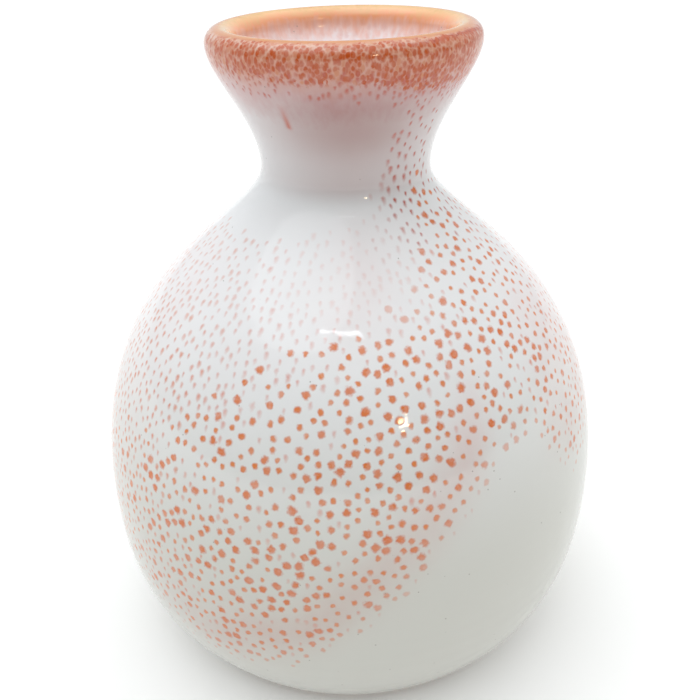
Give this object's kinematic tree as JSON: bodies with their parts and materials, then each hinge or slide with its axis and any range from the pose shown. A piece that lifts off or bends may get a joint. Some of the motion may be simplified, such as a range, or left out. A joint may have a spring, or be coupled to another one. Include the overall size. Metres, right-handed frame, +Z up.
{
  "type": "bud vase",
  "caption": "Round-bellied ceramic bud vase with a narrow waist, flared rolled lip, reactive glaze and a bare clay foot ring.",
  "frame": {"origin": "on the vase's axis, at the level of the foot it stands on", "axes": "+Z up the vase's axis of revolution, from the foot to the lip"},
  "size_m": [0.084, 0.084, 0.101],
  "materials": {
    "fired_clay": "matte",
    "speckled_glaze": "gloss",
    "liner_glaze": "gloss",
    "rim_glaze": "gloss"
  },
  "bodies": {
    "root": {"clay_body": "fired_clay", "outer_glaze": "speckled_glaze", "inner_glaze": "liner_glaze", "rim_glaze": "rim_glaze", "base_glaze": "liner_glaze"}
  },
  "joints": []
}
